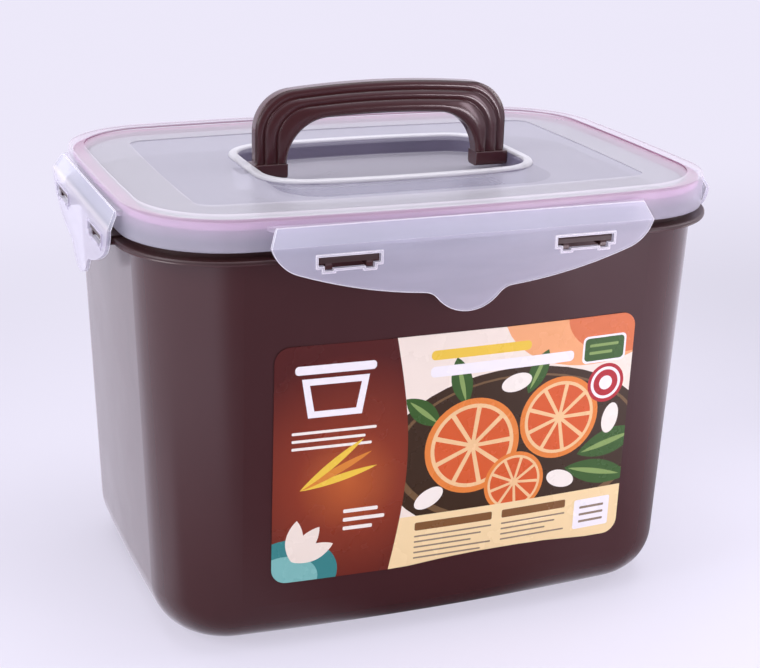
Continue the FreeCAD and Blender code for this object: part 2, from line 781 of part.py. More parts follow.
def arch(flat, half_span, top, corner, foot):
    """Closed arch: upright legs, round corners and a crowned top, down to the foot line."""
    crown = size.handle_crown - (size.handle_reach - top)
    crown_centre = Vector(0, top.value - crown.value, 0)
    corner_x = half_span.value - corner.value
    lift = math.sqrt((crown.value - corner.value) ** 2 - corner_x ** 2)
    corner_centre = Vector(corner_x, crown_centre.y + lift, 0)
    crown_end = touch(crown_centre, crown.value, corner_centre)
    leg_top = Vector(half_span.value, corner_centre.y, 0)
    leg_low = Vector(half_span.value, foot.value, 0)

    def left(point):
        return Vector(-point.x, point.y, 0)

    ids = flat.addGeometry([
        Part.LineSegment(leg_low, leg_top),
        arc(corner_centre, leg_top, crown_end),
        arc(crown_centre, crown_end, left(crown_end)),
        arc(left(corner_centre), left(crown_end), left(leg_top)),
        Part.LineSegment(left(leg_top), left(leg_low)),
        Part.LineSegment(left(leg_low), leg_low),
    ], False)
    leg, bend, over, bend_l, leg_l, base = ids
    for first, second in ((leg, bend), (bend, over), (over, bend_l), (bend_l, leg_l)):
        relate(flat, "Tangent", first, 2, second, 1)
    relate(flat, "Coincident", leg_l, 2, base, 1)
    relate(flat, "Coincident", base, 2, leg, 1)
    relate(flat, "Vertical", leg)
    relate(flat, "Vertical", leg_l)
    relate(flat, "Horizontal", base)
    relate(flat, "Equal", bend, bend_l)
    relate(flat, "PointOnObject", over, 3, -2)
    hold(flat, "Radius", bend, amount=corner)
    hold(flat, "Radius", over, amount=crown)
    hold(flat, "DistanceY", over, 3, -1, 1, amount=crown - top)
    hold(flat, "DistanceX", -1, 1, leg, 1, amount=half_span)
    hold(flat, "DistanceX", leg_l, 2, -1, 1, amount=half_span)
    hold(flat, "DistanceY", -1, 1, leg, 1, amount=foot)


def build_handle():
    """The folding handle, origin on its pivot line."""
    handle = body("handle", (ZERO, ZERO, pivot_height))
    span = size.handle_half_span - size.leg_inset
    reach = size.handle_reach
    bands = [
        ("outer", span, reach, size.outer_corner, size.outer_half_depth),
        ("middle", span - size.middle_inset, reach - size.middle_inset,
         size.middle_corner, size.middle_half_depth),
        ("inner", span - size.inner_inset, reach - size.inner_drop,
         size.inner_corner, size.inner_half_depth),
    ]
    for name, half_span, top, corner, half_depth in bands:
        plan = sketch(handle, f"{name}_arch", plane="XZ_Plane")
        arch(plan, half_span, top, corner, ZERO)
        pad(handle, f"{name}_band", plan, half_depth * 2, both_ways=True)
    grip = sketch(handle, "grip_arch", plane="XZ_Plane")
    arch(grip, span - size.grip_inset, reach - size.grip_drop, size.grip_corner, -size.foot_below)
    pocket(handle, "grip_opening", grip, both_ways=True)
    inside = size.handle_half_span - size.foot_length

    def grip_edges(box, edge):
        front = near(abs(box.YMin), size.inner_half_depth.value) and near(box.YLength, 0)
        within = max(abs(box.XMin), abs(box.XMax)) < (span - size.grip_inset).value + MATCH
        below = box.ZMax < (reach - size.grip_drop).value + MATCH
        return front and within and below and box.ZMax > MATCH

    soften(handle, "grip_round", grip_edges, size.grip_edge)
    feet = sketch(handle, "foot_plan", plane="YZ_Plane")
    rectangle(feet, -size.foot_half_depth, size.foot_half_depth, -size.foot_below, size.foot_above)
    pad(handle, "feet", feet, size.handle_half_span * 2, both_ways=True)
    space = sketch(handle, "foot_space", plane="XZ_Plane")
    rectangle(space, -inside, inside, -size.foot_below, size.foot_above)
    pocket(handle, "between_feet", space, both_ways=True)

    def foot_edges(box, edge):
        along = near(box.XLength, size.foot_length.value)
        return along and near(box.ZMin, -size.foot_below.value)

    soften(handle, "foot_rounds", foot_edges, size.foot_round)
    pins = sketch(handle, "pin_plan", plane="YZ_Plane")
    circle = pins.addGeometry(Part.Circle(Vector(0, 0, 0), Vector(0, 0, 1), size.pin_diameter.value / 2), False)
    relate(pins, "Coincident", circle, 3, -1, 1)
    hold(pins, "Diameter", circle, amount=size.pin_diameter)
    pin_reach = size.handle_half_span + size.pin_length
    pad(handle, "pins", pins, pin_reach * 2, both_ways=True)
    clear = sketch(handle, "pin_space", plane="XZ_Plane")
    rectangle(clear, -inside, inside, -size.foot_below, size.foot_above)
    pocket(handle, "between_pins", clear, both_ways=True)
    return handle


def build_label():
    """The printed film, bent round the tub's tapered front."""
    label = body("label")
    low = size.label_bottom - size.label_corner
    high = size.label_bottom + size.label_height + size.label_corner
    surfaces = []
    for name, out in (("outside", size.label_film + size.label_bond), ("inside", size.label_bond)):
        ends = []
        for end, height in (("low", low), ("high", high)):
            plan = sketch(label, f"film_{name}_{end}", height=height)
            lid_outline(plan, tub_offset(height) - out)
            ends.append(plan)
        surfaces.append(ends)
    loft(label, "film_outside", surfaces[0])
    loft(label, "film_inside", surfaces[1], cut=True)
    behind = sketch(label, "behind_plan", height=high)
    around = size.lid_half_length * 2
    rectangle(behind, -around, around, ZERO, around)
    pocket(label, "front_only", behind)
    left_edge = size.label_centre - size.label_half_width
    right_edge = size.label_centre + size.label_half_width
    trim = sketch(label, "label_outline", plane="XZ_Plane")
    rectangle(trim, -around, around, low - size.label_corner, high + size.label_corner)
    rounded_rectangle(trim, left_edge, right_edge, size.label_bottom, size.label_bottom + size.label_height,
                      size.label_corner)
    pocket(label, "label_trim", trim, both_ways=True)
    return label


def check(features):
    """Stops if any feature failed."""
    for feature in features:
        if "Invalid" in feature.State or "Error" in feature.State:
            raise ValueError(f"{feature.Label} did not build")


parts = [build_tub(), build_lid(), build_seal()]
for label, half, margin, place, turn in flap_plan():
    parts.append(build_flap(label, half, margin, place, turn))
parts += [build_handle(), build_label()]
doc.recompute()
check(doc.Objects)

os.makedirs("parts", exist_ok=True)
for part in parts:
    shape = part.Shape
    if shape.isNull() or not shape.isValid() or not shape.Solids:
        raise ValueError(f"{part.Label} has no sound solid")
    shape.exportStep(f"parts/{part.Label}.step")
    print(part.Label, len(shape.Solids), round(shape.Volume / 1000, 2), "cm3")
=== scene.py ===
import math

import bpy
from mathutils import Matrix, Vector
from mathutils.geometry import delaunay_2d_cdt


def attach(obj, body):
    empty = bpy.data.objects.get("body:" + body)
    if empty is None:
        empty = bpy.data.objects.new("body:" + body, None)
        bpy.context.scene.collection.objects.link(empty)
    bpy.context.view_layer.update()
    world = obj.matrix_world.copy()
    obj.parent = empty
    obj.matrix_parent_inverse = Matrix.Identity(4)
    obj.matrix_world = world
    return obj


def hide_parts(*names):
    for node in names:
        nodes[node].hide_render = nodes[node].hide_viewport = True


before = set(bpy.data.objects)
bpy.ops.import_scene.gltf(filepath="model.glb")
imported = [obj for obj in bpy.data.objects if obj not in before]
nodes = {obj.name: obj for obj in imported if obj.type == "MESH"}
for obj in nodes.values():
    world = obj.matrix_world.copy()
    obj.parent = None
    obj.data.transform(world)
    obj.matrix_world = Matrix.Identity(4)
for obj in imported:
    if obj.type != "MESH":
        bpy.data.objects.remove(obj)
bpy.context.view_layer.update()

MM = 0.001

# Sizes in millimetres that the materials follow
# Handle, with half span, top above the pivot and corner radius of each arch, outermost first
PIVOT_HEIGHT = 198.6
HANDLE_CROWN = 421.4
HANDLE_ARCHES = ((62.1, 38.6, 19.0), (57.5, 34.0, 16.0), (51.7, 29.8, 15.0), (47.3, 23.8, 21.0))
BAND_CROWN = 0.75
BAND_EDGE = 0.9
OUTER_EDGE = 2.2
FOOT_TOP = 2.8

# Tub
FLANGE_LOW = 182.6
FLANGE_ROLL = 1.1
ROLL_DEPTH = 0.6
LUG_TOP = 181.5
LUG_OUT_LONG = 97.0
LUG_OUT_SHORT = 134.5

# Lid
WELL_HALF_LENGTH = 63.7
WELL_HALF_WIDTH = 39.1
WELL_CORNER = 19.0
WELL_BASE = 192.6
# Shift forward and spread of the painted shade field on the panel's front
SHADE_FIELD_SHIFT = 22.0
SHADE_FIELD_SPREAD = 1.6
PANEL_TOP = 200.0
LIP_TOP = 201.9
LID_TOP = 202.4
LID_EDGE = 0.6
SEAL_LOW = 191.5
SEAL_HIGH = 197.5

# Flaps
FLAP_EDGE = 0.9
FRAME_OUT = 105.5
SIDE_FLAP = 141.5


def srgb(red, green, blue):
    """Linear colour of an sRGB one given from 0 to 255."""
    def linear(level):
        share = level / 255
        return share / 12.92 if share <= 0.04045 else ((share + 0.055) / 1.055) ** 2.4
    return (linear(red), linear(green), linear(blue), 1.0)


class Tree:
    """A node tree with short calls for making and joining nodes."""

    def __init__(self, owner):
        owner.use_nodes = True
        self.tree = owner.node_tree
        self.tree.nodes.clear()

    def add(self, kind, inputs=None, **settings):
        node = self.tree.nodes.new(kind)
        for name, value in settings.items():
            setattr(node, name, value)
        for name, value in (inputs or {}).items():
            self.feed(node.inputs[name], value)
        return node

    def feed(self, socket, value):
        if isinstance(value, bpy.types.NodeSocket):
            self.tree.links.new(value, socket)
        else:
            socket.default_value = value

    def show(self, shader, output="ShaderNodeOutputMaterial"):
        self.tree.links.new(shader.outputs[0], self.add(output).inputs["Surface"])

    def place(self):
        return self.add("ShaderNodeTexCoord").outputs["Object"]

    def split(self, vector):
        node = self.add("ShaderNodeSeparateXYZ", {"Vector": vector})
        return node.outputs["X"], node.outputs["Y"], node.outputs["Z"]

    def math(self, operation, first, second=0.0):
        node = self.add("ShaderNodeMath", {0: first, 1: second}, operation=operation)
        return node.outputs[0]

    def product(self, first, *others):
        for other in others:
            first = self.math("MULTIPLY", first, other)
        return first

    def inverse(self, share):
        return self.math("SUBTRACT", 1.0, share)

    def dot(self, first, second):
        node = self.add("ShaderNodeVectorMath", {0: first, 1: second}, operation="DOT_PRODUCT")
        return node.outputs["Value"]

    def length(self, vector):
        return self.add("ShaderNodeVectorMath", {0: vector}, operation="LENGTH").outputs["Value"]

    def rays(self):
        """Shares that are 1 for glossy rays, and for rays that show a surface directly or through glass."""
        path = self.add("ShaderNodeLightPath")
        direct = self.math("MAXIMUM", path.outputs["Is Camera Ray"], path.outputs["Is Transmission Ray"])
        return path.outputs["Is Glossy Ray"], direct

    def noise(self, where, scale, detail=2.0, roughness=0.5):
        node = self.add("ShaderNodeTexNoise",
                        {"Vector": where, "Scale": scale, "Detail": detail, "Roughness": roughness})
        return node.outputs["Fac"]

    def bevel(self, radius):
        """Normal rounded over edges by a radius in millimetres."""
        return self.add("ShaderNodeBevel", {"Radius": radius * MM}, samples=6).outputs["Normal"]

    def bump(self, height, strength, distance, normal=None):
        inputs = {"Height": height, "Strength": strength, "Distance": distance}
        if normal is not None:
            inputs["Normal"] = normal
        return self.add("ShaderNodeBump", inputs).outputs["Normal"]

    def step(self, value, low, high):
        """Soft step from 0 at low to 1 at high."""
        node = self.add("ShaderNodeMapRange", {"Value": value, "From Min": low, "From Max": high},
                        interpolation_type="SMOOTHSTEP")
        return node.outputs["Result"]

    def rise(self, value, low, high):
        """Soft step from 0 at low millimetres to 1 at high millimetres."""
        return self.step(value, low * MM, high * MM)

    def fall(self, value, low, high):
        """Soft step from 1 at low millimetres to 0 at high millimetres."""
        return self.inverse(self.rise(value, low, high))

    def spread(self, value, low, high):
        """Turns 0 to 1 into low to high."""
        node = self.add("ShaderNodeMapRange", {"Value": value, "To Min": low, "To Max": high})
        return node.outputs["Result"]

    def box_distance(self, across, up, half_across, half_up, corner):
        """Distance in metres outside a rounded box about the origin, whose sizes are in millimetres."""
        over_across = self.math("SUBTRACT", self.math("ABSOLUTE", across), (half_across - corner) * MM)
        over_up = self.math("SUBTRACT", up, (half_up - corner) * MM)
        squares = [self.math("POWER", self.math("MAXIMUM", over, 0.0), 2.0)
                   for over in (over_across, over_up)]
        outer = self.math("SQRT", self.math("ADD", *squares))
        inner = self.math("MINIMUM", self.math("MAXIMUM", over_across, over_up), 0.0)
        return self.math("SUBTRACT", self.math("ADD", outer, inner), corner * MM)

    def mix(self, share, first, second):
        node = self.add("ShaderNodeMix", {"Factor": share}, data_type="RGBA")
        self.feed(node.inputs[6], first)
        self.feed(node.inputs[7], second)
        return node.outputs[2]

    def mix_vector(self, share, first, second):
        """Direction turned from the first to the second."""
        node = self.add("ShaderNodeMix", {0: share}, data_type="VECTOR")
        self.feed(node.inputs[4], first)
        self.feed(node.inputs[5], second)
        return self.add("ShaderNodeVectorMath", {0: node.outputs[1]}, operation="NORMALIZE").outputs[0]

    def ramp(self, value, stops):
        node = self.add("ShaderNodeValToRGB", {"Fac": value})
        points = node.color_ramp.elements
        while len(points) < len(stops):
            points.new(0.5)
        for point, (place, colour) in zip(points, stops):
            point.position = place
            point.color = colour
        return node.outputs["Color"]


def surface(name, colour, shade, rough, grain, grain_depth, wave_depth=0.0,
            relief=None, edge=None, painted_shade=None, **sockets):
    """A moulded material: colour varied by shade at random, painted shade where given, roughness by small
    smears, grain and waves as bump.
    """
    material = bpy.data.materials.new(name)
    tree = Tree(material)
    where = tree.place()
    colour_out = tree.mix(tree.noise(where, 14.0, 3.0), colour, shade)
    rough_out = tree.spread(tree.noise(where, 45.0, 4.0, 0.6), rough[0], rough[1])
    # Painted shade: a given function darkens the colour where shade falls
    if painted_shade:
        colour_out, rough_out = painted_shade(tree, where, colour_out, rough_out)
    normal = edge(tree, where) if edge else None
    normal = tree.bump(tree.noise(where, grain, 2.0), 0.6, grain_depth, normal)
    if relief:
        normal = tree.bump(relief(tree, where), 1.0, 1.0, normal)
    if wave_depth:
        normal = tree.bump(tree.noise(where, 32.0, 1.0), 1.0, wave_depth, normal)
    shader = tree.add("ShaderNodeBsdfPrincipled",
                      {"Base Color": colour_out, "Roughness": rough_out, "Normal": normal})
    for socket, value in sockets.items():
        shader.inputs[socket.replace("_", " ")].default_value = value
    tree.show(shader)
    return material


def dress(node_name, material):
    mesh = nodes[node_name].data
    mesh.materials.clear()
    mesh.materials.append(material)


def handle_levels(tree, where):
    """Distances outside the handle's arches, from the outer one inwards, and the height above the pivot."""
    across, depth, height = tree.split(where)
    up = tree.math("SUBTRACT", height, PIVOT_HEIGHT * MM)
    levels = []
    for half_span, top, corner in HANDLE_ARCHES:
        bend = 0.5 / ((HANDLE_CROWN + top) * MM)
        sag = tree.product(tree.math("POWER", across, 2.0), bend)
        levels.append(tree.box_distance(across, tree.math("ADD", up, sag), half_span, top, corner))
    return levels, up


def handle_relief(tree, where):
    """Crowned bands of the handle, from the outer arch inwards."""
    levels, up = handle_levels(tree, where)
    height = 0.0
    for outer, inner in zip(levels[:-1], levels[1:]):
        share = tree.math("DIVIDE", outer, tree.math("SUBTRACT", outer, inner))
        within = tree.product(tree.math("GREATER_THAN", share, 0.0), tree.math("LESS_THAN", share, 1.0))
        bow = tree.product(share, tree.inverse(share), 4.0)
        height = tree.math("ADD", height, tree.product(bow, within))
    return tree.product(height, tree.rise(up, FOOT_TOP, FOOT_TOP + 0.4), BAND_CROWN * MM)


def handle_edge(tree, where):
    """Small radii on the bands' edges and large ones along the outer side."""
    outermost = handle_levels(tree, where)[0][0]
    return tree.mix_vector(tree.rise(outermost, -1.2, -0.2), tree.bevel(BAND_EDGE), tree.bevel(OUTER_EDGE))


def flange_relief(tree, where):
    """Rolled lower edge of the flange."""
    height = tree.split(where)[2]
    within = tree.math("GREATER_THAN", height, (FLANGE_LOW + 0.01) * MM)
    return tree.product(tree.fall(height, FLANGE_LOW, FLANGE_LOW + FLANGE_ROLL), within, ROLL_DEPTH * MM)


def tub_painted_shade(tree, where, colour, rough):
    """Painted shade: darker, duller plastic on the flange, the lugs under it and the upright rim above it,
    where the lid and its flaps shade them.
    """
    across, depth, height = tree.split(where)
    rim = tree.rise(height, FLANGE_LOW + 0.6, FLANGE_LOW + 1.4)
    out_long = tree.rise(tree.math("ABSOLUTE", depth), LUG_OUT_LONG, LUG_OUT_LONG + 0.5)
    out_short = tree.rise(tree.math("ABSOLUTE", across), LUG_OUT_SHORT, LUG_OUT_SHORT + 0.5)
    under = tree.math("LESS_THAN", height, LUG_TOP * MM)
    shade_share = tree.math("MAXIMUM", rim, tree.product(tree.math("MAXIMUM", out_long, out_short), under))
    # Painted shade: colour turned dark brown over the shaded share
    colour = tree.mix(tree.product(shade_share, 0.6), colour, srgb(38, 9, 8))
    return colour, tree.math("ADD", rough, tree.product(shade_share, 0.2))


def edge_share(tree, radius):
    """Rounded edge normal, plain normal, and a share that is 1 on edges and 0 on flat faces."""
    bevel = tree.bevel(radius)
    flat = tree.add("ShaderNodeNewGeometry").outputs["Normal"]
    return bevel, flat, tree.step(tree.inverse(tree.dot(bevel, flat)), 0.04, 0.12)


def add_shares(tree, start, shares):
    """Start plus each share times its weight."""
    for share, weight in shares:
        start = tree.math("ADD", start, tree.product(share, weight))
    return start


def milky_shader(tree, where, colour, cover, rough, normal, **sockets):
    """See-through plastic with a fine grain, whose cover is its share of light held back."""
    rough_out = tree.spread(tree.noise(where, 45.0, 4.0, 0.6), rough[0], rough[1])
    grained = tree.bump(tree.noise(where, 1600.0, 2.0), 0.6, 0.00003, normal)
    shader = tree.add("ShaderNodeBsdfPrincipled",
                      {"Base Color": colour, "Roughness": rough_out, "Alpha": cover, "Normal": grained})
    for socket, value in sockets.items():
        shader.inputs[socket.replace("_", " ")].default_value = value
    tree.show(shader)


def flap_material():
    """Milky see-through plastic with painted light: paler, denser edges, and the short sides' flaps paler and
    denser still, palest at their top.
    """
    material = bpy.data.materials.new("flap_plastic")
    tree = Tree(material)
    where = tree.place()
    across, depth, height = tree.split(where)
    # Painted light: the edges' share makes them paler and denser
    flat, edge = edge_share(tree, FLAP_EDGE)[1:]
    side = tree.rise(tree.math("ABSOLUTE", across), SIDE_FLAP, SIDE_FLAP + 1.0)
    frames = tree.math("GREATER_THAN", tree.math("ABSOLUTE", depth), FRAME_OUT * MM)
    edge = tree.math("MAXIMUM", tree.product(edge, tree.spread(side, 1.0, 0.1)), tree.product(frames, 0.3))

    milk = tree.mix(tree.noise(where, 14.0, 3.0), srgb(222, 223, 243), srgb(230, 231, 248))
    # Painted light: the short sides' flaps are paler, most of all at their top
    lit_side_milk = tree.mix(tree.fall(height, 187.0, 193.0), srgb(252, 246, 255), srgb(222, 216, 236))
    colour = tree.mix(edge, tree.mix(side, milk, lit_side_milk), srgb(250, 247, 252))
    streak = tree.add("ShaderNodeMapping", {"Vector": where, "Scale": (1.0, 1.0, 6.0)}).outputs["Vector"]
    cloud = tree.spread(tree.noise(streak, 22.0, 2.0), -0.04, 0.04)
    strip = tree.rise(height, 166.0, 191.0)
    cover = add_shares(tree, tree.math("ADD", cloud, 0.325), ((strip, 0.03), (edge, 0.58), (side, 0.17)))
    milky_shader(tree, where, colour, cover, (0.26, 0.38), flat)
    return material


def lid_zones(tree, where):
    """Shares from 0 to 1 of the lid's zones."""
    across, depth, height = tree.split(where)
    facing = tree.add("ShaderNodeTexCoord").outputs["Normal"]
    upright = tree.inverse(tree.step(tree.math("ABSOLUTE", tree.split(facing)[2]), 0.3, 0.7))
    outward = tree.dot(facing, where)
    inward = tree.product(upright, tree.math("LESS_THAN", outward, 0.0))
    well = tree.box_distance(across, tree.math("ABSOLUTE", depth), WELL_HALF_LENGTH, WELL_HALF_WIDTH,
                             WELL_CORNER)
    near_well = tree.fall(well, 2.0, 2.6)
    far = tree.rise(well, 20.0, 21.0)
    zones = {"far": far, "sunk": tree.fall(height, PANEL_TOP + 0.2, PANEL_TOP + 0.4)}

    # Well, whose walls get painted shade
    zones["wall"] = tree.product(near_well, upright, tree.fall(height, LIP_TOP - 1.6, LIP_TOP - 0.9))
    zones["base"] = tree.product(near_well, tree.fall(height, WELL_BASE + 0.5, WELL_BASE + 1.0))
    zones["lip"] = tree.product(tree.fall(well, 4.2, 4.6),
                                tree.rise(height, PANEL_TOP + 0.2, PANEL_TOP + 0.8))

    # Steps inside the rim, the panel's with painted light at the front and left only, and the skirt outside
    # the rim
    high_step = tree.product(tree.rise(height, LID_TOP - 1.0, LID_TOP - 0.9), tree.rise(well, 10.0, 11.0))
    zones["inner_step"] = tree.product(inward, high_step)
    low_step = tree.product(tree.rise(height, PANEL_TOP + 0.02, PANEL_TOP + 0.1),
                            tree.math("LESS_THAN", height, (PANEL_TOP + 0.7) * MM))
    zones["panel_step"] = tree.product(inward, low_step, far, tree.fall(depth, 0.0, 40.0),
                                       tree.math("LESS_THAN", across, 0.1))
    zones["skirt"] = tree.product(upright, tree.math("GREATER_THAN", outward, 0.05), far)
    zones["skirt_seal"] = tree.product(zones["skirt"], tree.rise(height, SEAL_LOW, SEAL_HIGH))

    # Rim, and its part at the back and right
    zones["rear"] = tree.math("MAXIMUM", tree.rise(depth, 20.0, 80.0), tree.rise(across, 120.0, 140.0))
    zones["rim"] = tree.product(tree.rise(height, LID_TOP - 0.6, LID_TOP - 0.3), far)
    zones["rear_rim"] = tree.product(zones["rim"], zones["rear"])

    # Painted shade: a darker field on the panel's front half, standing for the well's side seen through it
    # from the front
    ahead = tree.math("ABSOLUTE", tree.math("ADD", depth, SHADE_FIELD_SHIFT * MM))
    sight = tree.box_distance(across, ahead, WELL_HALF_LENGTH + SHADE_FIELD_SPREAD, WELL_HALF_WIDTH + SHADE_FIELD_SPREAD,
                              WELL_CORNER + SHADE_FIELD_SPREAD)
    fading = tree.spread(tree.rise(across, 20.0, 60.0), 1.0, 0.35)
    zones["sight"] = tree.product(tree.fall(sight, -0.6, 0.6), fading, tree.math("LESS_THAN", depth, 0.0),
                                  zones["sunk"], tree.inverse(near_well))
    return zones


# Colour of each zone and the share it is mixed in by, in order
LID_COLOURS = (
    # Painted shade on the panel's front field and the well's walls, painted light on the panel's step
    ("sight", 0.65, (160, 157, 184)), ("panel_step", 1.0, (248, 246, 252)), ("lip", 1.0, (248, 246, 253)),
    ("base", 1.0, (216, 212, 228)), ("wall", 1.0, (138, 132, 160)), ("inner_step", 1.0, (150, 96, 124)),
    ("skirt_seal", 0.6, (226, 206, 230)), ("rear_rim", 0.6, (206, 178, 204)),
)

# Cover of the plain lid, and how much denser or clearer each zone is
LID_COVER = 0.35
LID_COVERS = (
    ("lip", 0.14), ("base", 0.02), ("rim", 0.1), ("rear_rim", -0.13), ("wall", 0.16), ("inner_step", 0.4),
    ("skirt", -0.04), ("skirt_seal", 0.08), ("sight", -0.03), ("panel_step", 0.3),
)


def lid_material():
    """Frosted plastic: greyer sunk panel, painted shade on the well walls and the panel's front, painted
    light on the panel's step, and the seal's pink showing at the rim.
    """
    material = bpy.data.materials.new("lid_plastic")
    tree = Tree(material)
    where = tree.place()
    zones = lid_zones(tree, where)
    broad = tree.noise(where, 14.0, 3.0)
    colour = tree.mix(broad, srgb(232, 229, 241), srgb(238, 235, 245))
    colour = tree.mix(zones["sunk"], colour, tree.mix(broad, srgb(221, 218, 237), srgb(229, 226, 243)))
    for zone, share, shade in LID_COLOURS:
        colour = tree.mix(tree.product(zones[zone], share), colour, srgb(*shade))
    cover = add_shares(tree, LID_COVER, [(zones[zone], weight) for zone, weight in LID_COVERS])
    bevel, flat = edge_share(tree, LID_EDGE)[:2]
    height = tree.split(where)[2]
    sharp = tree.product(zones["rear"], zones["far"], tree.fall(height, LID_TOP - 1.0, LID_TOP - 0.8))
    normal = tree.mix_vector(sharp, bevel, flat)
    milky_shader(tree, where, colour, cover, (0.24, 0.36), normal, Specular_IOR_Level=0.8)
    return material


TUB = surface("tub_plastic", srgb(64, 32, 34), srgb(71, 38, 40), (0.16, 0.24), 900.0, 0.00002, 0.00012,
              relief=flange_relief, painted_shade=tub_painted_shade)
HANDLE = surface("handle_plastic", srgb(68, 31, 34), srgb(76, 38, 41), (0.13, 0.2), 900.0, 0.00002, 0.00004,
                 relief=handle_relief, edge=handle_edge, Specular_IOR_Level=0.55)
SEAL = surface("seal_rubber", srgb(222, 164, 202), srgb(228, 172, 208), (0.45, 0.6), 500.0, 0.00003)
FLAP = flap_material()
LID = lid_material()

dress("tub", TUB)
dress("handle", HANDLE)
dress("lid", LID)
dress("seal", SEAL)
for flap in ("front_flap", "right_flap", "back_flap", "left_flap"):
    dress(flap, FLAP)


# Label in millimetres: its edges on the tub's front, and the bowed, tapered front that it follows
LABEL_LEFT = -80.9
LABEL_RIGHT = 90.1
LABEL_LOW = 33.5
LABEL_HIGH = 144.5
LABEL_CORNER = 7.0
LABEL_WIDE = LABEL_RIGHT - LABEL_LEFT
LABEL_TALL = LABEL_HIGH - LABEL_LOW
LABEL_SPILL = 2.0
LABEL_COLUMNS = 20
LABEL_ROWS = 8
TUB_BOW = 1224.0
TUB_BOW_CENTRE = 1124.6
TUB_TOP = 196.6
TUB_INSET = 3.9
TUB_TAPER = 7.4
FILM_OUT = 0.4
FILM_THICKNESS = 0.25


def film_point(across, up):
    """Place on the label's face of a point given in millimetres from its lower left corner."""
    x = LABEL_LEFT + across
    z = LABEL_LOW + up
    inset = TUB_INSET + TUB_TAPER * (1 - z / TUB_TOP) - FILM_OUT
    y = TUB_BOW_CENTRE - math.sqrt((TUB_BOW - inset) ** 2 - x ** 2)
    return Vector((x, y, z)) * MM


def turned(x, y, turn, points):
    """Points along and aside of a direction of turn degrees from (x, y)."""
    angle = math.radians(turn)
    return [(x + along * math.cos(angle) - aside * math.sin(angle),
             y + along * math.sin(angle) + aside * math.cos(angle)) for along, aside in points]


def ellipse(x, y, half_wide, half_tall, turn=0.0, count=48):
    steps = [2 * math.pi * index / count for index in range(count)]
    return turned(x, y, turn, [(half_wide * math.cos(step), half_tall * math.sin(step)) for step in steps])


def rounded_box(left, low, right, high, corner, count=8):
    loop = []
    corners = [(right - corner, low + corner, -90), (right - corner, high - corner, 0),
               (left + corner, high - corner, 90), (left + corner, low + corner, 180)]
    for x, y, start in corners:
        for index in range(count + 1):
            angle = math.radians(start + 90 * index / count)
            loop.append((x + corner * math.cos(angle), y + corner * math.sin(angle)))
    return loop


def leaf(x, y, length, width, turn, count=14):
    """Pointed leaf from (x, y) along turn degrees."""
    side = [(length * index / count, width / 2 * math.sin(math.pi * index / count) ** 0.8)
            for index in range(count + 1)]
    return turned(x, y, turn, side + [(along, -aside) for along, aside in reversed(side[1:-1])])


def wedge(x, y, inner, outer, turn, half_open, count=5):
    """A citrus segment: blunt wedge between two radii."""
    loop = [(x + inner * math.cos(math.radians(turn)), y + inner * math.sin(math.radians(turn)))]
    for index in range(count + 1):
        angle = math.radians(turn - half_open + 2 * half_open * index / count)
        loop.append((x + outer * math.cos(angle), y + outer * math.sin(angle)))
    return loop


def inside(loop, x, y):
    hit = False
    for (x0, y0), (x1, y1) in zip(loop, loop[1:] + loop[:1]):
        if (y0 > y) != (y1 > y) and x < x0 + (y - y0) * (x1 - x0) / (y1 - y0):
            hit = not hit
    return hit


def picture_layers():
    """Pale field with a soft warm hill, and leaves, fruit slices and ovals on a dark dish."""
    layers = [
        ("cream", [(0, 0), (LABEL_WIDE, 0), (LABEL_WIDE, LABEL_TALL), (0, LABEL_TALL)]),
        ("peach", ellipse(150, 118, 46, 30)), ("apricot", ellipse(166, 112, 30, 20)),
        ("dish", ellipse(117, 50, 68, 41, -4)), ("dish_edge", ellipse(117, 51, 63, 36.5, -4)),
        ("dish", ellipse(117, 52, 60.5, 34.5, -4)),
    ]
    for x, y, length, width, turn in ((146, 44, 34, 13, 14), (140, 38, 36, 12, -14), (88, 76, 24, 10, 104),
                                      (76, 68, 22, 10, 140), (118, 78, 22, 9, 66)):
        layers.append(("green", leaf(x, y, length, width, turn)))
        root_x = x + 2 * math.cos(math.radians(turn))
        root_y = y + 2 * math.sin(math.radians(turn))
        layers.append(("light_green", leaf(root_x, root_y, length * 0.8, width * 0.22, turn)))
    for x, y, size in ((92, 56, 23), (135, 64, 20), (114, 35, 15)):
        layers.append(("orange", ellipse(x, y, size, size)))
        layers.append(("pale_orange", ellipse(x, y, size * 0.88, size * 0.88)))
        for index in range(9):
            layers.append(("red_orange", wedge(x, y, size * 0.12, size * 0.8, index * 40 + size, 16.5)))
    for x, y, turn in ((72, 33, 30), (138, 33, 160), (162, 60, 80), (112, 84, 12)):
        layers.append(("ivory", ellipse(x, y, 7.5, 4.2, turn)))
    return layers


def foot_layers():
    """Two plain bars over the picture, and a foot band with ruled lines."""
    layers = [
        ("yellow", rounded_box(70, 99, 118, 103.5, 2)), ("white", rounded_box(70, 91, 140, 96, 2)),
        ("sand", [(0, 0), (LABEL_WIDE, 0), (LABEL_WIDE, 25), (0, 25)]),
    ]
    for left, right, rows in ((66, 104, 5), (109, 142, 4)):
        layers.append(("brown", rounded_box(left, 17.5, right, 21.5, 0.8)))
        for row in range(rows):
            end = right - 5 * ((row * 7) % 3)
            layers.append(("grey", rounded_box(left, 14.2 - row * 2.7, end, 15.0 - row * 2.7, 0.3)))
    layers.append(("white", rounded_box(147, 5, 166, 20, 1)))
    for row in range(3):
        layers.append(("grey", rounded_box(150, 8 + row * 3.6, 163, 9.2 + row * 3.6, 0.4)))
    return layers


